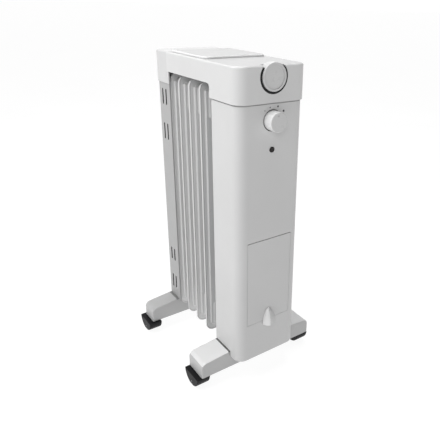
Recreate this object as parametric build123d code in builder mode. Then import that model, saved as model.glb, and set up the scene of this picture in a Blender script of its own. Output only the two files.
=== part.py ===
from build123d import *
import os

os.makedirs("parts", exist_ok=True)

# Oil filled radiator heater, millimetres.
# Front faces -Y, +X is to the right of a person facing the front, +Z is up.
# The origin is on the floor, under the middle of the body.

# ---- driving dimensions -------------------------------------------------
height = 640.0            # floor to the flat top of the cover
wall = 2.5                # moulded wall thickness

cover_w = 148.0           # hood over the front housing and the fins
cover_front = -152.0
cover_rear = 105.6
cover_low = 577.0         # lower edge of the cover around the front housing
skirt_low = 602.0         # lower edge of the skirts over the fins
cover_r = 22.0
notch_front = -61.5

housing_w = 142.0         # front housing
housing_front = -149.5
housing_rear = -63.0
housing_low = 55.0
housing_top = 588.0
housing_r = 20.0

rear_w = 138.0            # rear housing
rear_front = 108.4
rear_back = 167.0
rear_low = 70.0
rear_top = 576.6
rear_r = 14.0
cap_w = 142.0             # rear cap
cap_front = 106.0
cap_back = 169.0

dial_z = 620.5            # thermostat dial
dial_r = 24.4
well_r = 28.8
knob_z = 546.0            # selector knob
knob_r = 17.8
lamp_z = 493.5            # pilot lamp

door_w = 100.0            # cord compartment door
door_low = 139.0
door_top = 318.0
door_axis_y = -147.3
door_axis_z = 316.0
hood_low = 131.0          # lower rim of the teardrop hood
hood_apex = 166.0

fin_pitch = 41.7
fin_first = -15.0
fin_count = 4
fin_half_w = 67.2         # pressed sheet of a fin, half width
fin_low = 56.0
fin_top = 600.0
fin_r = 17.0
hem_half = 2.2            # half depth of the folded hem around a fin
channel_half = 4.8        # half thickness of the pressed oil channels
header_low = 100.0
header_up = 556.0
header_bore = 19.0
boss_half = 12.2

lid_front = -36.0         # lid on the cover
lid_half_w = 66.0
lid_axis_y = 94.0
lid_axis_z = 642.05
lid_top = 643.8
tray_y = 30.0             # tray under the lid
tray_len = 110.6

foot_half = 136.0         # foot bars
foot_low = 30.0
front_foot_y = (-117.0, -62.0)
rear_foot_y = (117.0, 159.0)

caster_half = 14.5        # half width of a caster's hood
caster_r = 27.0
stem_dx = 5.0
stem_dy = -6.0
wheel_r = 11.0

fin_y = [fin_first + fin_pitch * i for i in range(fin_count)]


# ---- fins -----------------------------------------------------------------
for i, yc in enumerate(fin_y):
    z_mid, z_len = (fin_low + fin_top) / 2, fin_top - fin_low
    half_w = 65.0 if i == fin_count - 1 else fin_half_w    # the last one clears the rear housing
    with BuildPart() as fin:
        # folded hem around the sheet's outline
        with BuildSketch(Plane.XZ.offset(-(yc + hem_half))):
            with Locations((0, z_mid)):
                RectangleRounded(2 * half_w + 2, z_len, fin_r)
                RectangleRounded(2 * half_w - 2.4, z_len - 4.4, fin_r - 2.2, mode=Mode.SUBTRACT)
        extrude(amount=2 * hem_half)
        outline = [
            e for e in fin.edges()
            if abs(abs(e.center().Y - yc) - hem_half) < 0.01
        ]
        fillet(outline, 0.9)
        # two welded sheets
        with BuildSketch(Plane.XZ.offset(-(yc + 1.2))):
            with Locations((0, z_mid)):
                RectangleRounded(2 * half_w, z_len - 2, fin_r - 1)
        extrude(amount=2.4)
        # pressed oil channels
        with BuildSketch(Plane.XY.offset(header_low - 26)):
            with BuildLine():
                Polyline((-60, yc), (-57, yc - channel_half), (-36, yc - channel_half), (-33, yc),
                         (-36, yc + channel_half), (-57, yc + channel_half), close=True)
            make_face()
            with BuildLine():
                Polyline((60, yc), (57, yc - channel_half), (36, yc - channel_half), (33, yc),
                         (36, yc + channel_half), (57, yc + channel_half), close=True)
            make_face()
            with BuildLine():
                Polyline((-15, yc), (-12, yc - channel_half), (12, yc - channel_half), (15, yc),
                         (12, yc + channel_half), (-12, yc + channel_half), close=True)
            make_face()
        extrude(amount=header_up - header_low + 52)
        # headers: wide low pans with round bosses on both faces, and their oil passages
        for z_head in (header_low, header_up):
            for face in (
                Plane(origin=(0, yc, z_head), x_dir=(1, 0, 0), z_dir=(0, -1, 0)),
                Plane(origin=(0, yc, z_head), x_dir=(-1, 0, 0), z_dir=(0, 1, 0)),
            ):
                with BuildSketch(face):
                    RectangleRounded(120, 70, 14)
                extrude(amount=7, taper=57)
                with BuildSketch(face):
                    Circle(31)
                extrude(amount=boss_half, taper=22)
        with BuildSketch(Plane.XZ.offset(-(yc + boss_half + 1))):
            with Locations((0, header_low), (0, header_up)):
                Circle(header_bore)
        extrude(amount=2 * boss_half + 2, mode=Mode.SUBTRACT)
    fin.part.label = f"fin_{i + 1}"
    export_step(fin.part, f"parts/fin_{i + 1}.step")

# ---- header collars between the fins and in front of the first one ----------
plate_back = housing_rear - 1.8           # rear face of the back plate
plate_front = plate_back - 1.2
spans = [(plate_back, fin_y[0] - boss_half)] + [
    (fin_y[i] + boss_half, fin_y[i + 1] - boss_half) for i in range(fin_count - 1)
]
with BuildPart() as upper_collars:
    for ya, yb in spans:
        with BuildSketch(Plane.XZ.offset(-yb)):
            with Locations((0, header_up)):
                Circle(25)
                Circle(21, mode=Mode.SUBTRACT)
        extrude(amount=yb - ya)
upper_collars.part.label = "upper_collars"
export_step(upper_collars.part, "parts/upper_collars.step")

with BuildPart() as lower_collars:
    for ya, yb in spans:
        with BuildSketch(Plane.XZ.offset(-yb)):
            with Locations((0, header_low)):
                Circle(25)
                Circle(21, mode=Mode.SUBTRACT)
        extrude(amount=yb - ya)
lower_collars.part.label = "lower_collars"
export_step(lower_collars.part, "parts/lower_collars.step")

last_back = fin_y[-1] + boss_half
with BuildPart() as header_plugs:
    with BuildSketch(Plane.XZ.offset(-(last_back + 4))):
        with Locations((0, header_low), (0, header_up)):
            RegularPolygon(24, 6)
    extrude(amount=4)
header_plugs.part.label = "header_plugs"
export_step(header_plugs.part, "parts/header_plugs.step")

first_front = fin_y[0] - boss_half
with BuildPart() as filler_plug:
    with BuildSketch(Plane.XZ.offset(-first_front)):
        with Locations((0, header_up)):
            Circle(20.6)
    extrude(amount=3)
    with BuildSketch(Plane.XZ.offset(-first_front + 3)):
        with Locations((0, header_up)):
            RegularPolygon(11, 6)
    extrude(amount=7)
filler_plug.part.label = "filler_plug"
export_step(filler_plug.part, "parts/filler_plug.step")

# heating element: a hairpin in the lower header, on a round flange
with BuildPart() as heating_element:
    with BuildLine() as hairpin:
        Line((0, first_front - 20, header_low + 9), (0, 102, header_low + 9))
        ThreePointArc((0, 102, header_low + 9), (0, 111, header_low), (0, 102, header_low - 9))
        Line((0, 102, header_low - 9), (0, first_front - 20, header_low - 9))
    with BuildSketch(Plane(origin=(0, first_front - 20, header_low + 9), z_dir=(0, 1, 0))):
        Circle(4)
    sweep(path=hairpin.wires()[0])
    with BuildSketch(Plane.XZ.offset(-first_front)):
        with Locations((0, header_low)):
            Circle(20.6)
    extrude(amount=5)
heating_element.part.label = "heating_element"
export_step(heating_element.part, "parts/heating_element.step")

# ---- front housing ----------------------------------------------------------
with BuildPart() as front_housing:
    with BuildSketch(Plane.XY.offset(housing_low)) as plan:
        with Locations((0, (housing_front + housing_rear) / 2)):
            Rectangle(housing_w, housing_rear - housing_front)
        fillet(plan.vertices().group_by(Axis.Y)[0], housing_r)
    extrude(amount=housing_top - housing_low)
    # softened lower rim around the front
    rim = front_housing.faces().sort_by(Axis.Z)[0].edges().sort_by(Axis.Y)[:-1]
    fillet(rim, 4)
    with BuildSketch(Plane.XY.offset(housing_low - 1)) as room:
        with Locations((0, (housing_front + wall + housing_rear + 1) / 2)):
            Rectangle(housing_w - 2 * wall, housing_rear + 1 - housing_front - wall)
        fillet(room.vertices().group_by(Axis.Y)[0], housing_r - wall)
    extrude(amount=housing_top - housing_low + 2, mode=Mode.SUBTRACT)
    # the side walls stand over the foot bar
    with BuildSketch(Plane.YZ):
        with Locations(((front_foot_y[0] - 1.2 + housing_rear + 1) / 2, 61.7)):
            Rectangle(housing_rear + 1 - front_foot_y[0] + 1.2, 15.8)
    extrude(amount=80, both=True, mode=Mode.SUBTRACT)
    # shadow groove under the cover's lower edge
    with BuildSketch(Plane.XY.offset(cover_low - 2.4)) as band:
        with Locations((0, (housing_front + housing_rear) / 2)):
            Rectangle(housing_w + 10, housing_rear - housing_front + 10)
        with BuildSketch(mode=Mode.PRIVATE) as core:
            with Locations((0, (housing_front + 1.4 + housing_rear + 20) / 2)):
                Rectangle(housing_w - 2.8, housing_rear + 20 - housing_front - 1.4)
            fillet(core.vertices().group_by(Axis.Y)[0], housing_r - 1.4)
        add(core.sketch, mode=Mode.SUBTRACT)
    extrude(amount=2.8, mode=Mode.SUBTRACT)
    # round recess that takes the knob's base
    with BuildSketch(Plane.XZ.offset(-housing_front - 1.6)):
        with Locations((0, knob_z)):
            Circle(19.3)
    extrude(amount=4, mode=Mode.SUBTRACT)
    # door opening, knob shaft hole and lamp hole
    with BuildSketch(Plane.XZ.offset(-housing_front - wall - 1)):
        with Locations((0, (door_low - 0.4 + door_top + 1.3) / 2)):
            Rectangle(door_w + 0.8, door_top + 1.3 - door_low + 0.4)
        with Locations((0, knob_z)):
            Circle(4.5)
        with Locations((0, lamp_z)):
            Circle(4.6)
    extrude(amount=wall + 2, mode=Mode.SUBTRACT)
    # seats for the door's hinge pins
    for xa in (-54.6, 49.6):
        with BuildSketch(Plane.YZ.offset(xa)):
            with Locations((door_axis_y, door_axis_z)):
                Circle(1.03)
        extrude(amount=5, mode=Mode.SUBTRACT)
    # screw posts along the side walls, for the back plate
    with BuildSketch(Plane.XZ.offset(-plate_front)):
        with Locations((-64.5, 100), (64.5, 100), (-64.5, 560), (64.5, 560)):
            Circle(4.5)
    extrude(amount=34)
    with BuildSketch(Plane.XZ.offset(-plate_front)):
        with Locations((-64.5, 100), (64.5, 100), (-64.5, 560), (64.5, 560)):
            Circle(1.82)
    extrude(amount=16, mode=Mode.SUBTRACT)
front_housing.part.label = "front_housing"
export_step(front_housing.part, "parts/front_housing.step")

with BuildPart() as front_back_plate:
    with BuildSketch(Plane.XZ.offset(-plate_back)):
        with Locations((0, (72 + 585) / 2)):
            RectangleRounded(136.4, 585 - 72, 6)
        with Locations((0, header_low)):
            Circle(20.9, mode=Mode.SUBTRACT)
        with Locations((-64.5, 100), (64.5, 100), (-64.5, 560), (64.5, 560)):
            Circle(2.0, mode=Mode.SUBTRACT)
    extrude(amount=1.2)
front_back_plate.part.label = "front_back_plate"
export_step(front_back_plate.part, "parts/front_back_plate.step")

with BuildPart() as back_plate_screws:
    with BuildSketch(Plane.XZ.offset(-plate_back - 0.0)):
        with Locations((-64.5, 100), (64.5, 100), (-64.5, 560), (64.5, 560)):
            Circle(1.8)
    extrude(amount=14)
    with BuildSketch(Plane.XZ.offset(-plate_back)):
        with Locations((-64.5, 100), (64.5, 100), (-64.5, 560), (64.5, 560)):
            Circle(3.6)
    extrude(amount=-2.2)
back_plate_screws.part.label = "back_plate_screws"
export_step(back_plate_screws.part, "parts/back_plate_screws.step")

with BuildPart() as front_base_plate:
    with BuildSketch(Plane.XY.offset(68.4)):
        with Locations((0, (front_foot_y[0] + plate_front) / 2)):
            RectangleRounded(134, plate_front - front_foot_y[0] - 0.6, 4)
        with Locations((-45, -89.5), (45, -89.5)):
            Circle(2.6, mode=Mode.SUBTRACT)
    extrude(amount=1.6)
front_base_plate.part.label = "front_base_plate"
export_step(front_base_plate.part, "parts/front_base_plate.step")

# ---- rear housing and its carriers ---------------------------------------------
slots = [(531, 564), (457, 492), (167, 198), (92, 127)]
with BuildPart() as rear_housing:
    with BuildSketch(Plane.XY.offset(rear_low)) as plan:
        with Locations((0, (rear_front + rear_back) / 2)):
            Rectangle(rear_w, rear_back - rear_front)
        fillet(plan.vertices().group_by(Axis.Y)[-1], rear_r)
    extrude(amount=rear_top - rear_low)
    with BuildSketch(Plane.XY.offset(rear_low - 1)) as room:
        with Locations((0, (rear_front - 1 + rear_back - wall) / 2)):
            Rectangle(rear_w - 2 * wall, rear_back - wall - rear_front + 1)
        fillet(room.vertices().group_by(Axis.Y)[-1], rear_r - wall)
    extrude(amount=rear_top - rear_low + 2, mode=Mode.SUBTRACT)
    # pairs of upright vent slots in both sides
    with BuildSketch(Plane.YZ):
        for za, zb in slots:
            with Locations((126.0, (za + zb) / 2), (141.0, (za + zb) / 2)):
                SlotOverall(zb - za, 4.8, rotation=90)
    extrude(amount=80, both=True, mode=Mode.SUBTRACT)
    # the wall is thinner around the slots
    with BuildSketch(Plane.YZ):
        for za, zb in slots:
            with Locations((133.5, (za + zb) / 2)):
                Rectangle(25, zb - za + 8)
    extrude(amount=rear_w / 2 - 1.0, both=True, mode=Mode.SUBTRACT)
    # two posts that reach the bracket
    with BuildSketch(Plane.XZ.offset(-(rear_back - wall))):
        with Locations((0, 180), (0, 470)):
            Circle(6)
    extrude(amount=rear_back - wall - (last_back + 5.5))
    with BuildSketch(Plane.XZ.offset(-rear_back)):
        with Locations((0, 180), (0, 470)):
            Circle(2.05)
    extrude(amount=45, mode=Mode.SUBTRACT)
    with BuildSketch(Plane.XZ.offset(-rear_back)):
        with Locations((0, 180), (0, 470)):
            Circle(4.6)
    extrude(amount=4, mode=Mode.SUBTRACT)
rear_housing.part.label = "rear_housing"
export_step(rear_housing.part, "parts/rear_housing.step")

with BuildPart() as rear_bracket:
    with BuildSketch(Plane.XZ.offset(-(last_back + 5.5))):
        with Locations((0, (76 + 590) / 2)):
            RectangleRounded(34, 590 - 76, 5)
        with Locations((0, 180), (0, 470)):
            Circle(2.05, mode=Mode.SUBTRACT)
    extrude(amount=1.5)
rear_bracket.part.label = "rear_bracket"
export_step(rear_bracket.part, "parts/rear_bracket.step")

with BuildPart() as rear_housing_screws:
    with BuildSketch(Plane.XZ.offset(-(rear_back - 4))):
        with Locations((0, 180), (0, 470)):
            Circle(2.0)
    extrude(amount=rear_back - 4 - last_back - 3)
    with BuildSketch(Plane.XZ.offset(-(rear_back - 4))):
        with Locations((0, 180), (0, 470)):
            Circle(4.2)
    extrude(amount=-2.4)
    with BuildSketch(Plane.XZ.offset(-(rear_back - 1.6))):
        with Locations((0, 180), (0, 470)):
            Rectangle(5.2, 1.1)
            Rectangle(1.1, 5.2)
    extrude(amount=1.2, mode=Mode.SUBTRACT)
rear_housing_screws.part.label = "rear_housing_screws"
export_step(rear_housing_screws.part, "parts/rear_housing_screws.step")

with BuildPart() as rear_base_plate:
    with BuildSketch(Plane.XY.offset(69.4)):
        with Locations((0, 138)):
            RectangleRounded(128, 38, 4)
        with Locations((-45, 138), (45, 138)):
            Circle(2.6, mode=Mode.SUBTRACT)
    extrude(amount=1.6)
rear_base_plate.part.label = "rear_base_plate"
export_step(rear_base_plate.part, "parts/rear_base_plate.step")

with BuildPart() as rear_cap:
    with BuildSketch(Plane.XY.offset(cover_low)) as plan:
        with Locations((0, (cap_front + cap_back) / 2)):
            Rectangle(cap_w, cap_back - cap_front)
        fillet(plan.vertices().group_by(Axis.Y)[-1], rear_r + 1)
    extrude(amount=height - cover_low)
    top_edges = rear_cap.faces().sort_by(Axis.Z)[-1].edges().sort_by(Axis.Y)[1:]
    fillet(top_edges, 4)
    with BuildSketch(Plane.XY.offset(cover_low - 1)) as room:
        with Locations((0, (cap_front - 1 + cap_back - wall) / 2)):
            Rectangle(cap_w - 2 * wall, cap_back - wall - cap_front + 1)
        fillet(room.vertices().group_by(Axis.Y)[-1], rear_r + 1 - wall)
    extrude(amount=height - wall - cover_low + 1, mode=Mode.SUBTRACT)
rear_cap.part.label = "rear_cap"
export_step(rear_cap.part, "parts/rear_cap.step")

# ---- top cover ------------------------------------------------------------------
with BuildPart() as top_cover:
    with BuildSketch(Plane.XY.offset(cover_low)) as plan:
        with Locations((0, (cover_front + cover_rear) / 2)):
            Rectangle(cover_w, cover_rear - cover_front)
        fillet(plan.vertices().group_by(Axis.Y)[0], cover_r)
    extrude(amount=height - cover_low)
    top_edges = top_cover.faces().sort_by(Axis.Z)[-1].edges().sort_by(Axis.Y)[:-1]
    fillet(top_edges, 4)
    with BuildSketch(Plane.XY.offset(cover_low - 1)) as room:
        with Locations((0, (cover_front + wall + cover_rear + 1) / 2)):
            Rectangle(cover_w - 2 * wall, cover_rear + 1 - cover_front - wall)
        fillet(room.vertices().group_by(Axis.Y)[0], cover_r - wall)
    extrude(amount=height - wall - cover_low + 1, mode=Mode.SUBTRACT)
    # the sides are cut back over the fins
    with BuildSketch(Plane.YZ) as notch:
        with Locations(((notch_front + cover_rear + 10) / 2, (cover_low - 10 + skirt_low) / 2)):
            Rectangle(cover_rear + 10 - notch_front, skirt_low - cover_low + 10)
        fillet(notch.vertices().group_by(Axis.X)[0].sort_by(Axis.Y)[-1:], 7)
    extrude(amount=90, both=True, mode=Mode.SUBTRACT)
    # round well for the dial, open through the top
    with BuildSketch(Plane.XZ.offset(-cover_front + 1)):
        with Locations((0, dial_z)):
            Circle(well_r)
    extrude(amount=-15, mode=Mode.SUBTRACT)
    # opening for the tray
    with BuildSketch(Plane.XY.offset(height - wall - 1)):
        with Locations((0, tray_y)):
            RectangleRounded(116, tray_len + 1.4, 8)
    extrude(amount=wall + 2, mode=Mode.SUBTRACT)
    # hinge ears for the lid
    for xe in (-55.5, 55.5):
        with BuildSketch(Plane.YZ.offset(xe - 3.2)):
            with Locations((lid_axis_y, lid_axis_z)):
                Circle(1.65)
            with Locations((lid_axis_y, (lid_axis_z + height - 1) / 2)):
                Rectangle(3.3, lid_axis_z - height + 1)
            with Locations((lid_axis_y, lid_axis_z)):
                Circle(0.82, mode=Mode.SUBTRACT)
        extrude(amount=6.4)
top_cover.part.label = "top_cover"
export_step(top_cover.part, "parts/top_cover.step")

# shallow water tray that hangs in the cover's opening by its flange
with BuildPart() as water_tray:
    with BuildSketch(Plane.XY.offset(612.5)):
        with Locations((0, tray_y)):
            RectangleRounded(114.6, tray_len, 7.5)
    extrude(amount=height - 612.5)
    with BuildSketch(Plane.XY.offset(height)):
        with Locations((0, tray_y)):
            RectangleRounded(121, tray_len + 6.4, 9)
    extrude(amount=1.2)
    with BuildSketch(Plane.XY.offset(614)):
        with Locations((0, tray_y)):
            RectangleRounded(111.4, tray_len - 3.2, 6)
    extrude(amount=40, mode=Mode.SUBTRACT)
water_tray.part.label = "water_tray"
export_step(water_tray.part, "parts/water_tray.step")

with BuildPart() as top_lid:
    with BuildSketch(Plane.XY.offset(height + 0.3)) as plan:
        with Locations((0, (lid_front + lid_axis_y) / 2)):
            Rectangle(2 * lid_half_w, lid_axis_y - lid_front)
        fillet(plan.vertices().group_by(Axis.Y)[0], 12)
    extrude(amount=lid_top - height - 0.3)
    crown = top_lid.faces().sort_by(Axis.Z)[-1].edges().sort_by(Axis.Y)[:-1]
    fillet(crown, 1.4)
    with BuildSketch(Plane.XY.offset(height)) as room:
        with Locations((0, (lid_front + 2 + lid_axis_y + 1) / 2)):
            Rectangle(2 * lid_half_w - 4, lid_axis_y + 1 - lid_front - 2)
        fillet(room.vertices().group_by(Axis.Y)[0], 10)
    extrude(amount=lid_top - 2 - height, mode=Mode.SUBTRACT)
    # rounded knuckle along the rear edge, with gaps for the two ears
    with BuildSketch(Plane.YZ.offset(-lid_half_w)):
        with Locations((lid_axis_y, lid_axis_z)):
            Circle(1.75)
    extrude(amount=2 * lid_half_w)
    with BuildSketch(Plane.XY.offset(height)):
        with Locations((-55.5, lid_axis_y), (55.5, lid_axis_y)):
            Rectangle(7.6, 10)
    extrude(amount=10, mode=Mode.SUBTRACT)
    with BuildSketch(Plane.YZ.offset(-lid_half_w - 1)):
        with Locations((lid_axis_y, lid_axis_z)):
            Circle(0.85)
    extrude(amount=2 * lid_half_w + 2, mode=Mode.SUBTRACT)
top_lid.part.label = "top_lid"
export_step(top_lid.part, "parts/top_lid.step")

with BuildPart() as lid_hinge_pin:
    with BuildSketch(Plane.YZ.offset(-62)):
        with Locations((lid_axis_y, lid_axis_z)):
            Circle(0.8)
    extrude(amount=124)
lid_hinge_pin.part.label = "lid_hinge_pin"
export_step(lid_hinge_pin.part, "parts/lid_hinge_pin.step")

# ---- thermostat ------------------------------------------------------------------
bezel_top = height - 4.0
with BuildPart() as dial_well:
    # cup with a broad bezel, level with the cover's front
    with BuildSketch(Plane.XZ.offset(136)):
        with Locations((0, dial_z)):
            Circle(well_r - 0.1)
    extrude(amount=-136 - cover_front)
    with BuildSketch(Plane.XZ.offset(-cover_front - wall - 2.1)):
        with Locations((0, dial_z)):
            Circle(well_r + 2.8)
    extrude(amount=2)
    with BuildSketch(Plane.XZ.offset(138)):
        with Locations((0, dial_z)):
            Circle(dial_r + 0.5)
    extrude(amount=20, mode=Mode.SUBTRACT)
    with BuildSketch(Plane.XZ.offset(139)):
        with Locations((0, dial_z)):
            Circle(3.6)
    extrude(amount=-5, mode=Mode.SUBTRACT)
    with BuildSketch(Plane.XY.offset(bezel_top)):
        with Locations((0, -143)):
            Rectangle(80, 40)
    extrude(amount=30, mode=Mode.SUBTRACT)
dial_well.part.label = "dial_well"
export_step(dial_well.part, "parts/dial_well.step")

with BuildPart() as thermostat_dial:
    with BuildSketch(Plane.XZ.offset(155.0)):
        with Locations((0, dial_z)):
            Circle(dial_r)
    extrude(amount=-14.4)
    fillet(thermostat_dial.faces().sort_by(Axis.Y)[0].edges(), 1.0)
    with BuildSketch(Plane.XZ.offset(155.0)):
        with Locations((0, dial_z)):
            Circle(20.6)
    extrude(amount=-1.4, mode=Mode.SUBTRACT)
    with BuildSketch(Plane.XZ.offset(140.6)):
        with Locations((0, dial_z)):
            Circle(3.0)
    extrude(amount=8, mode=Mode.SUBTRACT)
thermostat_dial.part.label = "thermostat_dial"
export_step(thermostat_dial.part, "parts/thermostat_dial.step")

with BuildPart() as dial_shaft:
    with BuildSketch(Plane.XZ.offset(148.6)):
        with Locations((0, dial_z)):
            Circle(3.0)
    extrude(amount=-24.6)
dial_shaft.part.label = "dial_shaft"
export_step(dial_shaft.part, "parts/dial_shaft.step")

with BuildPart() as thermostat_body:
    with BuildSketch(Plane.XZ.offset(132)):
        with Locations((0, dial_z)):
            RectangleRounded(34, 28, 3)
    extrude(amount=-26)
    with BuildSketch(Plane.XZ.offset(136)):
        with Locations((0, dial_z)):
            Circle(6)
    extrude(amount=-4)
    with BuildSketch(Plane.XZ.offset(137)):
        with Locations((0, dial_z)):
            Circle(3.06)
    extrude(amount=-14, mode=Mode.SUBTRACT)
thermostat_body.part.label = "thermostat_body"
export_step(thermostat_body.part, "parts/thermostat_body.step")

# ---- selector ---------------------------------------------------------------------
with BuildPart() as selector_knob:
    with BuildSketch(Plane.XZ.offset(-housing_front - 1.3)):
        with Locations((0, knob_z)):
            Circle(knob_r)
    extrude(amount=21.8, taper=0.6)
    fillet(selector_knob.faces().sort_by(Axis.Y)[0].edges(), 1.6)
    # round pointer dimple at the off mark's right
    with BuildSketch(Plane.XZ.offset(-housing_front + 20.5)):
        with Locations((11.6 * -0.1736, knob_z + 11.6 * 0.9848)):
            Circle(1.3)
    extrude(amount=-0.8, mode=Mode.SUBTRACT)
    with BuildSketch(Plane.XZ.offset(-housing_front - 1.3)):
        with Locations((0, knob_z)):
            Circle(3.0)
    extrude(amount=10.6, mode=Mode.SUBTRACT)
selector_knob.part.label = "selector_knob"
export_step(selector_knob.part, "parts/selector_knob.step")

with BuildPart() as selector_shaft:
    with BuildSketch(Plane.XZ.offset(-housing_front + 9.3)):
        with Locations((0, knob_z)):
            Circle(3.0)
    extrude(amount=-27)
selector_shaft.part.label = "selector_shaft"
export_step(selector_shaft.part, "parts/selector_shaft.step")

with BuildPart() as selector_switch:
    with BuildSketch(Plane.XZ.offset(141)):
        with Locations((0, knob_z)):
            RectangleRounded(40, 36, 3)
    extrude(amount=-29)
    with BuildSketch(Plane.XZ.offset(-housing_front - wall)):
        with Locations((0, knob_z)):
            Circle(7.5)
    extrude(amount=-(-141 - housing_front - wall))
    with BuildSketch(Plane.XZ.offset(-housing_front)):
        with Locations((0, knob_z)):
            Circle(3.06)
    extrude(amount=-19, mode=Mode.SUBTRACT)
selector_switch.part.label = "selector_switch"
export_step(selector_switch.part, "parts/selector_switch.step")

# ---- pilot lamp --------------------------------------------------------------------
with BuildPart() as pilot_lens:
    with BuildSketch(Plane.XZ.offset(-housing_front)):
        with Locations((0, lamp_z)):
            Circle(5.3)
    extrude(amount=1.6)
    fillet(pilot_lens.faces().sort_by(Axis.Y)[0].edges(), 1.1)
    with BuildSketch(Plane.XZ.offset(-housing_front)):
        with Locations((0, lamp_z)):
            Circle(4.4)
    extrude(amount=-10)
pilot_lens.part.label = "pilot_lens"
export_step(pilot_lens.part, "parts/pilot_lens.step")

with BuildPart() as pilot_holder:
    with BuildSketch(Plane.XZ.offset(-housing_front - wall)):
        with Locations((0, lamp_z)):
            Circle(7.5)
    extrude(amount=-18)
    with BuildSketch(Plane.XZ.offset(-housing_front)):
        with Locations((0, lamp_z)):
            Circle(4.45)
    extrude(amount=-11, mode=Mode.SUBTRACT)
pilot_holder.part.label = "pilot_holder"
export_step(pilot_holder.part, "parts/pilot_holder.step")

# ---- cord compartment ---------------------------------------------------------------
with BuildPart() as cord_door:
    with BuildSketch(Plane.XZ.offset(-housing_front - wall)):
        with Locations((0, (door_low + door_top) / 2)):
            Rectangle(door_w, door_top - door_low)
    extrude(amount=wall)
    # hinge lugs behind the upper corners
    for xa in (-48.5, 43.5):
        with BuildSketch(Plane.YZ.offset(xa)):
            with Locations((door_axis_y, door_axis_z)):
                Circle(2.2)
        extrude(amount=5)
    for xa in (-50.5, 43.0):
        with BuildSketch(Plane.YZ.offset(xa)):
            with Locations((door_axis_y, door_axis_z)):
                Circle(1.06)
        extrude(amount=7.5, mode=Mode.SUBTRACT)
    # teardrop hood, open downwards
    with BuildSketch(Plane.YZ) as drop:
        with BuildLine():
            Spline((housing_front - 14.4, hood_low), (housing_front - 13.7, 140),
                   (housing_front - 10.2, 151.5), (housing_front - 4.6, 162),
                   (housing_front, hood_apex))
            Line((housing_front, hood_apex), (housing_front, hood_low))
            Line((housing_front, hood_low), (housing_front - 14.4, hood_low))
        make_face()
    revolve(axis=Axis((0, housing_front, 0), (0, 0, 1)), revolution_arc=360)
    with BuildSketch(Plane.YZ) as hollow:
        with BuildLine():
            Spline((housing_front - 12.6, hood_low - 1), (housing_front - 11.9, 140),
                   (housing_front - 8.4, 151), (housing_front - 2.8, 159),
                   (housing_front, 161))
            Line((housing_front, 161), (housing_front, hood_low - 1))
            Line((housing_front, hood_low - 1), (housing_front - 12.6, hood_low - 1))
        make_face()
    revolve(axis=Axis((0, housing_front, 0), (0, 0, 1)), revolution_arc=360, mode=Mode.SUBTRACT)
    # nothing of the hood stays behind the door or against the wall below it
    with BuildSketch(Plane.XZ.offset(-housing_front - wall)):
        with Locations((0, 145)):
            Rectangle(40, 60)
    extrude(amount=-20, mode=Mode.SUBTRACT)
    with BuildSketch(Plane.XZ.offset(-housing_front + 0.5)):
        with Locations((0, door_low - 10)):
            Rectangle(40, 20)
    extrude(amount=-30, mode=Mode.SUBTRACT)
cord_door.part.label = "cord_door"
export_step(cord_door.part, "parts/cord_door.step")

with BuildPart() as door_hinge_pins:
    for xa in (-54.5, 43.4):
        with BuildSketch(Plane.YZ.offset(xa)):
            with Locations((door_axis_y, door_axis_z)):
                Circle(1.0)
        extrude(amount=11.1)
door_hinge_pins.part.label = "door_hinge_pins"

with BuildPart() as cord_compartment:
    with BuildSketch(Plane.XZ.offset(-housing_front - wall)):
        with Locations((0, 226)):
            RectangleRounded(110, 196, 5)
    extrude(amount=-39)
    with BuildSketch(Plane.XZ.offset(-housing_front + 1)):
        with Locations((0, 226)):
            RectangleRounded(106, 192, 3)
    extrude(amount=-(39 - 2 + wall + 1), mode=Mode.SUBTRACT)
    # cord gland hole in the back wall, pin seats in front of the side walls
    with BuildSketch(Plane.XZ.offset(120)):
        with Locations((-34, 146)):
            Circle(6.0)
    extrude(amount=-20, mode=Mode.SUBTRACT)
    for xa in (-56, 52.9):
        with BuildSketch(Plane.YZ.offset(xa)):
            with Locations((door_axis_y, door_axis_z)):
                Circle(1.03)
        extrude(amount=3.1, mode=Mode.SUBTRACT)
    # the rim follows the housing's rounded inner corners
    add(front_housing.part, mode=Mode.SUBTRACT)
cord_compartment.part.label = "cord_compartment"
export_step(cord_compartment.part, "parts/cord_compartment.step")
export_step(door_hinge_pins.part, "parts/door_hinge_pins.step")

with BuildPart() as cord_hooks:
    with BuildSketch(Plane.XZ.offset(110)):
        with Locations((0, 292), (0, 166)):
            RectangleRounded(30, 9, 3)
    extrude(amount=16)
    with BuildSketch(Plane.XZ.offset(126)):
        with Locations((0, 288), (0, 170)):
            RectangleRounded(34, 18, 4)
    extrude(amount=3)
cord_hooks.part.label = "cord_hooks"
export_step(cord_hooks.part, "parts/cord_hooks.step")

with BuildPart() as cord_gland:
    with BuildSketch(Plane.XZ.offset(110)):
        with Locations((-34, 146)):
            Circle(9)
    extrude(amount=4)
    with BuildSketch(Plane.XZ.offset(110)):
        with Locations((-34, 146)):
            Circle(5.95)
    extrude(amount=-10)
    with BuildSketch(Plane.XZ.offset(115)):
        with Locations((-34, 146)):
            Circle(3.8)
    extrude(amount=-20, mode=Mode.SUBTRACT)
cord_gland.part.label = "cord_gland"
export_step(cord_gland.part, "parts/cord_gland.step")

# ---- electrical pieces on the back plate ----------------------------------------------
with BuildPart() as terminal_block:
    with BuildSketch(Plane.XZ.offset(-plate_front)):
        with Locations((28, 450)):
            RectangleRounded(44, 18, 2)
    extrude(amount=14)
    with BuildSketch(Plane.XZ.offset(-plate_front + 14)):
        with Locations((14, 450), (28, 450), (42, 450)):
            Circle(3)
    extrude(amount=-5, mode=Mode.SUBTRACT)
terminal_block.part.label = "terminal_block"
export_step(terminal_block.part, "parts/terminal_block.step")

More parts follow.
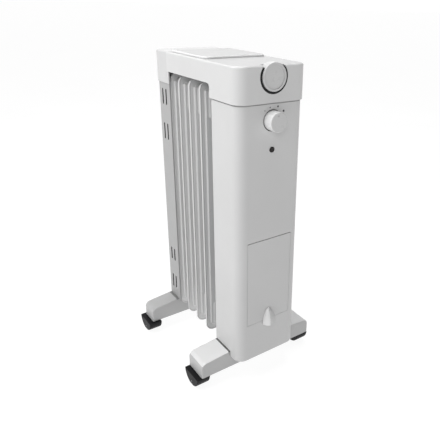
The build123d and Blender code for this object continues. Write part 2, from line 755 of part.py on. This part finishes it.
with BuildPart() as thermal_cutout:
    with BuildSketch(Plane.XZ.offset(-plate_front)):
        with Locations((-26, 500)):
            Circle(9)
    extrude(amount=4)
    with BuildSketch(Plane.XZ.offset(-plate_front + 4)):
        with Locations((-26, 500)):
            Circle(6.5)
    extrude(amount=7)
thermal_cutout.part.label = "thermal_cutout"
export_step(thermal_cutout.part, "parts/thermal_cutout.step")

with BuildPart() as tilt_switch:
    with BuildSketch(Plane.XZ.offset(-plate_front)):
        with Locations((-30, 400)):
            RectangleRounded(22, 30, 2)
    extrude(amount=15)
tilt_switch.part.label = "tilt_switch"
export_step(tilt_switch.part, "parts/tilt_switch.step")

# ---- feet -----------------------------------------------------------------------------
for foot_name, (ya, yb), top_mid in (
    ("front_foot", front_foot_y, 68.0),
    ("rear_foot", rear_foot_y, 69.0),
):
    ym = (ya + yb) / 2
    with BuildPart() as foot:
        with BuildSketch(Plane.XZ.offset(-ya)) as side_view:
            with BuildLine():
                Polyline(
                    (-foot_half, foot_low), (foot_half, foot_low), (foot_half, 62.5),
                    (74, top_mid), (-74, top_mid), (-foot_half, 62.5), close=True,
                )
            make_face()
            ends = [v for v in side_view.vertices() if abs(v.Y - 62.5) < 0.1]
            fillet(ends, 12)
        extrude(amount=-(yb - ya))
        long_edges = [
            e for e in foot.edges()
            if (abs(e.center().Y - ya) < 0.01 or abs(e.center().Y - yb) < 0.01)
            and e.center().Z > foot_low + 1
        ]
        fillet(long_edges, 2.5)
        # hollow underside
        with BuildSketch(Plane.XY.offset(foot_low)):
            with Locations((0, ym)):
                RectangleRounded(2 * 131, yb - ya - 7, 4)
        extrude(amount=24, mode=Mode.SUBTRACT)
        # stem sockets and screw bosses
        with BuildSketch(Plane.XY.offset(foot_low + 0.8)):
            with Locations((-127, ym + stem_dy), (127, ym + stem_dy)):
                Circle(8.4)
        extrude(amount=24)
        with BuildSketch(Plane.XY.offset(foot_low)):
            with Locations((-127, ym + stem_dy), (127, ym + stem_dy)):
                Circle(5.06)
        extrude(amount=23, mode=Mode.SUBTRACT)
        with BuildSketch(Plane.XY.offset(foot_low)):
            with Locations((-45, ym), (45, ym)):
                Circle(2.6)
        extrude(amount=45, mode=Mode.SUBTRACT)
    foot.part.label = foot_name
    export_step(foot.part, f"parts/{foot_name}.step")

with BuildPart() as foot_screws:
    with BuildSketch(Plane.XY.offset(54)):
        with Locations((-45, -89.5), (45, -89.5), (-45, 138), (45, 138)):
            Circle(2.5)
    extrude(amount=20)
    with BuildSketch(Plane.XY.offset(54)):
        with Locations((-45, -89.5), (45, -89.5), (-45, 138), (45, 138)):
            Circle(5)
    extrude(amount=-3.2)
    with BuildSketch(Plane.XY.offset(50.8)):
        with Locations((-45, -89.5), (45, -89.5), (-45, 138), (45, 138)):
            Rectangle(6.4, 1.3)
            Rectangle(1.3, 6.4)
    extrude(amount=1.6, mode=Mode.SUBTRACT)
foot_screws.part.label = "foot_screws"
export_step(foot_screws.part, "parts/foot_screws.step")

# ---- casters -----------------------------------------------------------------------------
hood_top = foot_low - 1.4
hood_rim = 5.0
for tag, xc, yc in (
    ("fl", -132.0, sum(front_foot_y) / 2),
    ("fr", 122.0, sum(front_foot_y) / 2),
    ("rl", -132.0, sum(rear_foot_y) / 2),
    ("rr", 122.0, sum(rear_foot_y) / 2),
):
    sx, sy = xc + stem_dx, yc + stem_dy
    with BuildPart() as caster_hood:
        with BuildSketch(Plane.YZ.offset(xc - caster_half)) as shape:
            with Locations((yc, foot_low)):
                Circle(caster_r)
            with Locations((yc, hood_top + 50)):
                Rectangle(100, 100, mode=Mode.SUBTRACT)
            with Locations((yc, hood_rim - 50)):
                Rectangle(100, 100, mode=Mode.SUBTRACT)
        extrude(amount=2 * caster_half)
        rounds = [
            e for e in caster_hood.edges()
            if abs(abs(e.center().X - xc) - caster_half) < 0.01 and hood_rim + 0.5 < e.center().Z < hood_top - 0.5
        ]
        fillet(rounds, 1.6)
        with BuildSketch(Plane.YZ.offset(xc - caster_half + 2.4)) as room:
            with Locations((yc, foot_low)):
                Circle(caster_r - 2.4)
            with Locations((yc, hood_top - 2.5 + 50)):
                Rectangle(100, 100, mode=Mode.SUBTRACT)
        extrude(amount=2 * caster_half - 4.8, mode=Mode.SUBTRACT)
        with BuildSketch(Plane.XY):
            with Locations((xc, yc)):
                Rectangle(2 * caster_half - 4.8, 2 * wheel_r + 3)
        extrude(amount=14, mode=Mode.SUBTRACT)
        # stem boss under the top plate
        with BuildSketch(Plane.XY.offset(23.2)):
            with Locations((sx, sy)):
                Circle(7.2)
        extrude(amount=hood_top - 23.2)
        with BuildSketch(Plane.XY.offset(20)):
            with Locations((sx, sy)):
                Circle(5.02)
        extrude(amount=20, mode=Mode.SUBTRACT)
        # axle holes
        with BuildSketch(Plane.YZ.offset(xc - 20)):
            with Locations((yc, wheel_r)):
                Circle(2.02)
        extrude(amount=40, mode=Mode.SUBTRACT)
    caster_hood.part.label = f"caster_hood_{tag}"
    export_step(caster_hood.part, f"parts/caster_hood_{tag}.step")

    with BuildPart() as caster_stem:
        with BuildSketch(Plane.XY.offset(23.2)):
            with Locations((sx, sy)):
                Circle(5.0)
        extrude(amount=28.6)
        chamfer(caster_stem.faces().sort_by(Axis.Z)[-1].edges(), 1)
    caster_stem.part.label = f"caster_stem_{tag}"
    export_step(caster_stem.part, f"parts/caster_stem_{tag}.step")

    with BuildPart() as caster_axle:
        with BuildSketch(Plane.YZ.offset(xc - caster_half + 0.4)):
            with Locations((yc, wheel_r)):
                Circle(2.0)
        extrude(amount=2 * caster_half - 0.8)
    caster_axle.part.label = f"caster_axle_{tag}"
    export_step(caster_axle.part, f"parts/caster_axle_{tag}.step")

    with BuildPart() as caster_wheels:
        for xa in (xc - 11.5, xc + 0.7):
            with BuildSketch(Plane.YZ.offset(xa)):
                with Locations((yc, wheel_r)):
                    Circle(wheel_r)
                    Circle(2.06, mode=Mode.SUBTRACT)
            extrude(amount=10.8)
        treads = [e for e in caster_wheels.edges() if abs(e.length - 2 * 3.14159265 * wheel_r) < 0.5]
        fillet(treads, 1.2)
    caster_wheels.part.label = f"caster_wheels_{tag}"
    export_step(caster_wheels.part, f"parts/caster_wheels_{tag}.step")
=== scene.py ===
import math
import bmesh
import bpy
from mathutils import Matrix, Vector


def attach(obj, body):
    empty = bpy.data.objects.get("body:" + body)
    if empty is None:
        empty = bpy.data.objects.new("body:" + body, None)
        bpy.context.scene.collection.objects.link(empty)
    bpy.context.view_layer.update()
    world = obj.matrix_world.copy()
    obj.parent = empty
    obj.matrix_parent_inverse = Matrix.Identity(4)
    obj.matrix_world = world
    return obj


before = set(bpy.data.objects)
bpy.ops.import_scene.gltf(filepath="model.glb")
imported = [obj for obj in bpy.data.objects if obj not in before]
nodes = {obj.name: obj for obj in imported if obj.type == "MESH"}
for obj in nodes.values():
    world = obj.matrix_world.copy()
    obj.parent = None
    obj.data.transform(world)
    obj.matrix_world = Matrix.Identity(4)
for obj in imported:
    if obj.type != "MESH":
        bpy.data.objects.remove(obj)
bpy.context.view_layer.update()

scene = bpy.context.scene
scene.view_settings.view_transform = "Standard"


# ---------------------------------------------------------------- materials
def link(nt, a, b):
    nt.links.new(a, b)


def new_mat(name):
    m = bpy.data.materials.new(name)
    m.use_nodes = True
    nt = m.node_tree
    bsdf = nt.nodes["Principled BSDF"]
    coord = nt.nodes.new("ShaderNodeTexCoord")
    return m, nt, bsdf, coord


def noise(nt, coord, scale, detail=3.0, rough=0.5, stretch=None):
    n = nt.nodes.new("ShaderNodeTexNoise")
    n.inputs["Scale"].default_value = scale
    n.inputs["Detail"].default_value = detail
    n.inputs["Roughness"].default_value = rough
    if stretch:
        mp = nt.nodes.new("ShaderNodeMapping")
        mp.inputs["Scale"].default_value = stretch
        link(nt, coord.outputs["Object"], mp.inputs["Vector"])
        link(nt, mp.outputs["Vector"], n.inputs["Vector"])
    else:
        link(nt, coord.outputs["Object"], n.inputs["Vector"])
    return n.outputs["Fac"]


def ramp(nt, fac, lo, hi, a=0.3, b=0.7):
    r = nt.nodes.new("ShaderNodeValToRGB")
    r.color_ramp.elements[0].position = a
    r.color_ramp.elements[0].color = (*lo, 1)
    r.color_ramp.elements[1].position = b
    r.color_ramp.elements[1].color = (*hi, 1)
    link(nt, fac, r.inputs["Fac"])
    return r.outputs["Color"]


def remap(nt, fac, lo, hi, a=0.3, b=0.7):
    r = nt.nodes.new("ShaderNodeMapRange")
    r.inputs["From Min"].default_value = a
    r.inputs["From Max"].default_value = b
    r.inputs["To Min"].default_value = lo
    r.inputs["To Max"].default_value = hi
    link(nt, fac, r.inputs["Value"])
    return r.outputs["Result"]


def bump(nt, height, strength, distance, normal=None):
    b = nt.nodes.new("ShaderNodeBump")
    b.inputs["Strength"].default_value = strength
    b.inputs["Distance"].default_value = distance
    link(nt, height, b.inputs["Height"])
    if normal is not None:
        link(nt, normal, b.inputs["Normal"])
    return b.outputs["Normal"]


def soft_edge(nt, radius):
    """Normal that rolls over the edges, as a moulding or a pressing does."""
    b = nt.nodes.new("ShaderNodeBevel")
    b.samples = 6
    b.inputs["Radius"].default_value = radius
    return b.outputs["Normal"]


def paint_seam_shade(nt, colour, dark, reach, amount):
    """Colour painted a little darker in seams and inner corners, found by ambient occlusion: painted shade."""
    ao = nt.nodes.new("ShaderNodeAmbientOcclusion")
    ao.samples = 6
    ao.inputs["Distance"].default_value = reach
    f = remap(nt, ao.outputs["AO"], amount, 0.0, 0.25, 0.75)
    mix = nt.nodes.new("ShaderNodeMix")
    mix.data_type = "RGBA"
    link(nt, f, mix.inputs["Factor"])
    link(nt, colour, mix.inputs[6])
    mix.inputs[7].default_value = (*dark, 1)
    return mix.outputs[2]


def scaled(c, k):
    return tuple(min(1.0, x * k) for x in c)


def moulded(name, colour, rough, grain=1500.0, grain_bump=0.12, mottle=0.025, spec=0.5, seam_shade_amount=0.35, coat=0.0, edge=0.0006):
    """Injection moulded plastic: fine spark grain, slow tone drift, polish that varies."""
    m, nt, bsdf, coord = new_mat(name)
    col = ramp(nt, noise(nt, coord, 7.0, 4.0), scaled(colour, 1 - mottle), scaled(colour, 1 + mottle))
    # painted shade: the colour is darkened in seams and inner corners
    if seam_shade_amount:
        col = paint_seam_shade(nt, col, scaled(colour, 0.45), 0.006, seam_shade_amount)
    link(nt, col, bsdf.inputs["Base Color"])
    link(nt, remap(nt, noise(nt, coord, 42.0, 5.0, 0.6), rough - 0.05, rough + 0.06), bsdf.inputs["Roughness"])
    n1 = bump(nt, noise(nt, coord, grain, 2.0), grain_bump, 0.00012, soft_edge(nt, edge) if edge else None)
    n2 = bump(nt, noise(nt, coord, 9.0, 1.0), 0.05, 0.0006, n1)
    link(nt, n2, bsdf.inputs["Normal"])
    bsdf.inputs["Specular IOR Level"].default_value = spec
    bsdf.inputs["Coat Weight"].default_value = coat
    return m


def enamel(name, colour, rough):
    """Baked enamel on sheet steel: orange peel and a slightly uneven sheet."""
    m, nt, bsdf, coord = new_mat(name)
    col = ramp(nt, noise(nt, coord, 5.0, 3.0), scaled(colour, 0.975), scaled(colour, 1.02))
    # painted shade: the colour is darkened in seams and inner corners
    col = paint_seam_shade(nt, col, scaled(colour, 0.4), 0.008, 0.35)
    link(nt, col, bsdf.inputs["Base Color"])
    link(nt, remap(nt, noise(nt, coord, 60.0, 4.0), rough - 0.06, rough + 0.07), bsdf.inputs["Roughness"])
    peel = bump(nt, noise(nt, coord, 420.0, 2.0), 0.10, 0.00025, soft_edge(nt, 0.0016))
    wave = bump(nt, noise(nt, coord, 16.0, 2.0, 0.5, (1.0, 1.0, 0.25)), 0.14, 0.0009, peel)
    link(nt, wave, bsdf.inputs["Normal"])
    bsdf.inputs["Coat Weight"].default_value = 0.15
    bsdf.inputs["Coat Roughness"].default_value = 0.12
    return m


def plated(name, colour, rough, metal=1.0):
    """Zinc plated steel: drawn streaks and cloudy spangle."""
    m, nt, bsdf, coord = new_mat(name)
    v = nt.nodes.new("ShaderNodeTexVoronoi")
    v.inputs["Scale"].default_value = 130.0
    link(nt, coord.outputs["Object"], v.inputs["Vector"])
    col = ramp(nt, v.outputs["Distance"], scaled(colour, 0.86), scaled(colour, 1.1), 0.0, 0.8)
    # painted shade: the colour is darkened in seams and inner corners
    col = paint_seam_shade(nt, col, scaled(colour, 0.3), 0.004, 0.4)
    link(nt, col, bsdf.inputs["Base Color"])
    link(nt, remap(nt, noise(nt, coord, 300.0, 4.0, 0.6, (1.0, 0.12, 1.0)), rough - 0.1, rough + 0.12), bsdf.inputs["Roughness"])
    link(nt, bump(nt, noise(nt, coord, 700.0, 2.0, 0.5, (1.0, 0.1, 1.0)), 0.15, 0.0001), bsdf.inputs["Normal"])
    bsdf.inputs["Metallic"].default_value = metal
    return m


def lens(name, colour):
    """Dark tinted lamp window, moulded with fine concentric rings."""
    m, nt, bsdf, coord = new_mat(name)
    sep = nt.nodes.new("ShaderNodeVectorMath")
    sep.operation = "DISTANCE"
    sep.inputs[1].default_value = (0.0, -0.1505, 0.4935)
    link(nt, coord.outputs["Object"], sep.inputs[0])
    w = nt.nodes.new("ShaderNodeMath")
    w.operation = "SINE"
    k = nt.nodes.new("ShaderNodeMath")
    k.operation = "MULTIPLY"
    k.inputs[1].default_value = 9000.0
    link(nt, sep.outputs["Value"], k.inputs[0])
    link(nt, k.outputs[0], w.inputs[0])
    col = ramp(nt, noise(nt, coord, 500.0, 2.0), scaled(colour, 0.8), scaled(colour, 1.25))
    link(nt, col, bsdf.inputs["Base Color"])
    link(nt, remap(nt, noise(nt, coord, 900.0), 0.12, 0.24), bsdf.inputs["Roughness"])
    link(nt, bump(nt, w.outputs[0], 0.25, 0.0001), bsdf.inputs["Normal"])
    bsdf.inputs["Specular IOR Level"].default_value = 0.25
    bsdf.inputs["Coat Weight"].default_value = 0.08
    return m


mats = {
    "cover": moulded("cover_plastic", (0.605, 0.605, 0.605), 0.36),
    # a darker copy of the cover plastic for its upward faces: painted shade
    "cover_top": moulded("cover_top_painted_shade_plastic", (0.47, 0.47, 0.47), 0.36),
    "housing": moulded("housing_plastic", (0.58, 0.58, 0.58), 0.38),
    "rear": moulded("rear_plastic", (0.37, 0.37, 0.37), 0.40),
    "cap": moulded("cap_plastic", (0.56, 0.56, 0.56), 0.38),
    "knob": moulded("knob_plastic", (0.56, 0.56, 0.56), 0.30, 2200.0, 0.06),
    # a lighter copy of the knob plastic for lit flanks: painted light
    "knob_side": moulded("knob_side_painted_light_plastic", (0.78, 0.78, 0.78), 0.30, 2200.0, 0.06),
    "door": moulded("door_plastic", (0.58, 0.58, 0.58), 0.38),
    # two copies of the foot plastic: darker on the front foot's sides as painted shade, lighter on its upward faces as
    # painted light
    "foot": moulded("foot_painted_shade_plastic", (0.47, 0.47, 0.47), 0.40),
    "foot_top": moulded("foot_top_painted_light_plastic", (0.72, 0.72, 0.72), 0.40),
    # the rear foot painted darker than the front foot: painted shade
    "rear_foot": moulded("rear_foot_painted_shade_plastic", (0.44, 0.44, 0.44), 0.40),
    # the lid painted darker than the cover plastic as painted shade, its side faces lighter as painted light
    "lid": moulded("lid_painted_shade_plastic", (0.47, 0.47, 0.47), 0.36),
    "lid_edge": moulded("lid_edge_painted_light_plastic", (0.80, 0.80, 0.80), 0.36),
    "inner": moulded("inner_plastic", (0.40, 0.40, 0.40), 0.5, 1200.0, 0.2),
    "black": moulded("caster_plastic", (0.008, 0.008, 0.009), 0.50, 1300.0, 0.25, 0.12, 0.16, 0.1),
    # near black for the dial's well; the same material is painted shade in the knob recess, the seams over the feet
    # and the rear housing's hollow
    "well": moulded("well_black_and_painted_shade_plastic", (0.010, 0.010, 0.011), 0.6, 1300.0, 0.2, 0.1, 0.3, 0.0),
    "wheel": moulded("wheel_plastic", (0.006, 0.006, 0.007), 0.45, 900.0, 0.2, 0.15, 0.3, 0.2),
    "fin": enamel("fin_enamel", (0.67, 0.67, 0.67), 0.33),
    # the fin enamel a little darker on the hems: painted shade
    "hem": enamel("fin_hem_painted_shade_enamel", (0.60, 0.60, 0.60), 0.36),
    "steel": plated("zinc_steel", (0.56, 0.57, 0.58), 0.36),
    "seam": moulded("seam_shade_plastic", (0.13, 0.13, 0.13), 0.6, 1300.0, 0.2, 0.1, 0.3, 0.0),
    "rear_seam": moulded("rear_seam_shade_plastic", (0.20, 0.20, 0.20), 0.6, 1300.0, 0.2, 0.1, 0.3, 0.0),
    "lens": lens("lamp_window", (0.010, 0.008, 0.008)),
    "print_dark": moulded("dot_print_dark", (0.09, 0.09, 0.10), 0.5, 2600.0, 0.3, 0.12, 0.4, 0.0),
    "print_mid": moulded("dot_print_mid", (0.22, 0.22, 0.23), 0.5, 2600.0, 0.3, 0.12, 0.4, 0.0),
}


def kind(n):
    if n.startswith("fin_") or n in ("upper_collars", "lower_collars", "header_plugs", "filler_plug"):
        return "fin"
    if n.startswith("caster_hood"):
        return "black"
    if n.startswith("caster_wheels"):
        return "wheel"
    if n in ("dial_well",):
        return "well"
    if n in ("cord_gland", "thermostat_body", "selector_switch", "pilot_holder", "terminal_block", "tilt_switch"):
        return "black"
    if n == "pilot_lens":
        return "lens"
    if n in ("cord_compartment", "cord_hooks", "water_tray"):
        return "inner"
    if n == "rear_cap":
        return "cap"
    if n == "rear_housing":
        return "rear"
    if n in ("thermostat_dial", "selector_knob"):
        return "knob"
    if n == "top_cover":
        return "cover"
    if n == "top_lid":
        return "lid"
    if n == "front_housing":
        return "housing"
    if n == "cord_door":
        return "door"
    if n == "front_foot":
        return "foot"
    if n == "rear_foot":
        return "rear_foot"
    return "steel"


for n, o in nodes.items():
    o.data.materials.clear()
    o.data.materials.append(mats[kind(n)])


def repaint(n, mat, test):
    """Give the faces that pass the test a second material; sizes in millimetres."""
    o = nodes[n]
    o.data.materials.append(mats[mat])
    k = len(o.data.materials) - 1
    mw = o.matrix_world
    turn = mw.to_3x3()
    for p in o.data.polygons:
        if test((mw @ p.center) * 1000.0, (turn @ p.normal).normalized()):
            p.material_index = k


# the recess round the knob is painted near black as painted shade, and the knob's flank is painted lighter as painted
# light
repaint("front_housing", "well", lambda c, v: math.hypot(c.x, c.z - 546.0) < 19.6 and -149.4 < c.y < -147.3)
repaint("selector_knob", "knob_side", lambda c, v: abs(v.y) < 0.5 and math.hypot(c.x, c.z - 546.0) > 15.0)
# the teardrop hood's left flank catches the light
repaint("cord_door", "knob_side", lambda c, v: c.z < 168.0 and c.y < -149.8 and v.x < -0.25 and v.y < 0.2 and abs(c.x) < 15.0)
# seams over the feet: the housings' faces there are painted near black as painted shade
repaint("front_housing", "well", lambda c, v: c.z < 70.5 and c.y > -119.0 and (v.z < -0.9 or v.y > 0.9))
repaint("rear_housing", "well", lambda c, v: c.z < 70.6 and v.z < -0.9)
# painted light and shade: the cover's upward faces are painted darker, the lid's side faces and the front foot's
# upward faces lighter
repaint("top_cover", "cover_top", lambda c, v: v.z > 0.9 and c.z > 630.0)
repaint("top_lid", "lid_edge", lambda c, v: abs(v.z) < 0.9)
repaint("front_foot", "foot_top", lambda c, v: v.z > 0.5)
# the flat part of each foot that goes under a housing is painted dark as painted shade in the seam
for n, m in (("front_foot", "seam"), ("rear_foot", "rear_seam")):
    repaint(n, m, lambda c, v: abs(c.x) < 73.9 and c.z > 60.0 and v.z > 0.3)
# the hollow inside of the rear housing is painted near black as painted shade behind its slots
repaint("rear_housing", "well", lambda c, v: (c.x < -20.0 and v.x > 0.5) or (c.x > 20.0 and v.x < -0.5) or (v.y < -0.5 and c.y > 112.0))
# folded hems, painted a little darker than the fin enamel as painted shade on their lit edges
for n in ("fin_1", "fin_2", "fin_3", "fin_4"):
    w = 63.5 if n == "fin_4" else 65.7
    repaint(n, "hem", lambda c, v: abs(c.x) > w or c.z > 597.6 or c.z < 58.4)


# ------------------------------------------------------------- printed dots
def make_obj(name, bm, mat, body):
    me = bpy.data.meshes.new(name)
    bm.to_mesh(me)
    bm.free()
    ob = bpy.data.objects.new(name, me)
    scene.collection.objects.link(ob)
    me.materials.append(mat)
    for p in me.polygons:
        p.use_smooth = True
    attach(ob, body)
    return ob


def dot(bm, x, z, r, y0, h):
    """A round pad of ink with a rounded rim, on the plane y = y0."""
    rings = [(1.0, 0.0), (0.985, 0.45), (0.93, 0.8), (0.82, 0.95), (0.5, 1.0)]
    seg = 40
    prev = None
    for k, (rr, hh) in enumerate(rings):
        ring = [
            bm.verts.new((x + r * rr * math.cos(2 * math.pi * i / seg), y0 - h * hh, z + r * rr * math.sin(2 * math.pi * i / seg)))
            for i in range(seg)
        ]
        if prev:
            for i in range(seg):
                bm.faces.new((prev[i], prev[(i + 1) % seg], ring[(i + 1) % seg], ring[i]))
        else:
            bm.faces.new(list(reversed(ring)))
        prev = ring
    bm.faces.new(prev)
    bmesh.ops.recalc_face_normals(bm, faces=bm.faces)


FRONT_Y = -0.1495
bm = bmesh.new()
for x, z, r in ((0.0112, 0.5694, 0.0018), (0.0236, 0.5604, 0.0021)):
    dot(bm, x, z, r, FRONT_Y, 0.00012)
make_obj("scale_dots_large", bm, mats["print_dark"], "heater")
bm = bmesh.new()
for x, z, r in ((-0.0165, 0.5642, 0.0011), (-0.0055, 0.5690, 0.0013)):
    dot(bm, x, z, r, FRONT_Y, 0.00012)
make_obj("scale_dots_small", bm, mats["print_mid"], "heater")


# ------------------------------------------------------------ floor and light
bm = bmesh.new()
R, SEG = 60.0, 96
centre = bm.verts.new((0, 0, 0))
rim = [bm.verts.new((R * math.cos(2 * math.pi * i / SEG), R * math.sin(2 * math.pi * i / SEG), 0)) for i in range(SEG)]
for i in range(SEG):
    bm.faces.new((centre, rim[i], rim[(i + 1) % SEG]))
me = bpy.data.meshes.new("studio_floor")
bm.to_mesh(me)
bm.free()
floor = bpy.data.objects.new("studio_floor", me)
scene.collection.objects.link(floor)
fm, nt, bsdf, coord = new_mat("floor_paper")
link(nt, ramp(nt, noise(nt, coord, 2.0, 2.0), (0.13, 0.13, 0.13), (0.15, 0.15, 0.15)), bsdf.inputs["Base Color"])
bsdf.inputs["Roughness"].default_value = 0.9
bsdf.inputs["Specular IOR Level"].default_value = 0.1
bsdf.inputs["Emission Color"].default_value = (1, 1, 1, 1)
bsdf.inputs["Emission Strength"].default_value = 0.92
me.materials.append(fm)

# dim studio with one bright backdrop low behind the heater
world = bpy.data.worlds.new("studio_world")
world.use_nodes = True
wt = world.node_tree
bg = wt.nodes["Background"]
bg.inputs["Color"].default_value = (1, 1, 1, 1)
wc = wt.nodes.new("ShaderNodeTexCoord")
wd = wt.nodes.new("ShaderNodeVectorMath")
wd.operation = "DOT_PRODUCT"
wd.inputs[1].default_value = Vector((0.56, 0.80, 0.12)).normalized()
link(wt, wc.outputs["Generated"], wd.inputs[0])
wm = wt.nodes.new("ShaderNodeMapRange")
wm.interpolation_type = "SMOOTHSTEP"
wm.inputs["From Min"].default_value = 0.72
wm.inputs["From Max"].default_value = 0.97
wm.inputs["To Min"].default_value = 0.0
wm.inputs["To Max"].default_value = 0.88
link(wt, wd.outputs["Value"], wm.inputs["Value"])
wx = wt.nodes.new("ShaderNodeVectorMath")
wx.operation = "DOT_PRODUCT"
wx.inputs[1].default_value = (1, 0, 0)
link(wt, wc.outputs["Generated"], wx.inputs[0])
wr = wt.nodes.new("ShaderNodeMapRange")
wr.inputs["From Min"].default_value = -0.6
wr.inputs["From Max"].default_value = 0.9
wr.inputs["To Min"].default_value = 0.32
wr.inputs["To Max"].default_value = 0.17
link(wt, wx.outputs["Value"], wr.inputs["Value"])
wa = wt.nodes.new("ShaderNodeMath")
wa.operation = "ADD"
link(wt, wm.outputs["Result"], wa.inputs[0])
link(wt, wr.outputs["Result"], wa.inputs[1])
link(wt, wa.outputs[0], bg.inputs["Strength"])
scene.world = world


def softbox(name, place, aim, size, watts):
    l = bpy.data.lights.new(name, "AREA")
    l.shape = "SQUARE"
    l.size = size
    l.energy = watts
    o = bpy.data.objects.new(name, l)
    o.location = place
    o.rotation_euler = (Vector(aim) - Vector(place)).to_track_quat("-Z", "Y").to_euler()
    scene.collection.objects.link(o)
    return o


softbox("key_softbox", (-1.55, 0.30, 2.0), (-0.05, 0.0, 0.40), 1.3, 33.0)
softbox("top_softbox", (0.1, 0.1, 2.4), (0.0, 0.0, 0.6), 1.2, 25.0)
softbox("side_softbox", (-0.95, -1.25, 1.35), (0.0, -0.12, 0.45), 0.5, 5.0)

# ------------------------------------------------------------------- camera
YAW, PITCH, ROLL = math.radians(38.32), math.radians(-21.35), math.radians(1.96)
fwd = Vector((math.sin(YAW) * math.cos(PITCH), math.cos(YAW) * math.cos(PITCH), math.sin(PITCH)))
right = Vector((math.cos(YAW), -math.sin(YAW), 0))
up = right.cross(fwd)
rx = right * math.cos(ROLL) + up * math.sin(ROLL)
uy = -right * math.sin(ROLL) + up * math.cos(ROLL)
cam = bpy.data.cameras.new("camera")
cam.sensor_fit = "HORIZONTAL"
cam.sensor_width = 36.0
cam.lens = 502.42 * 36.0 / 440.0
cam.shift_x = -0.15
cam.shift_y = -0.0545
cam.clip_start = 0.01
cam.clip_end = 200.0
cam_ob = bpy.data.objects.new("camera", cam)
cam_ob.matrix_world = Matrix((
    (rx.x, uy.x, -fwd.x, -0.5107),
    (rx.y, uy.y, -fwd.y, -0.84071),
    (rx.z, uy.z, -fwd.z, 0.74188),
    (0, 0, 0, 1),
))
scene.collection.objects.link(cam_ob)
scene.camera = cam_ob

bpy.context.view_layer.update()
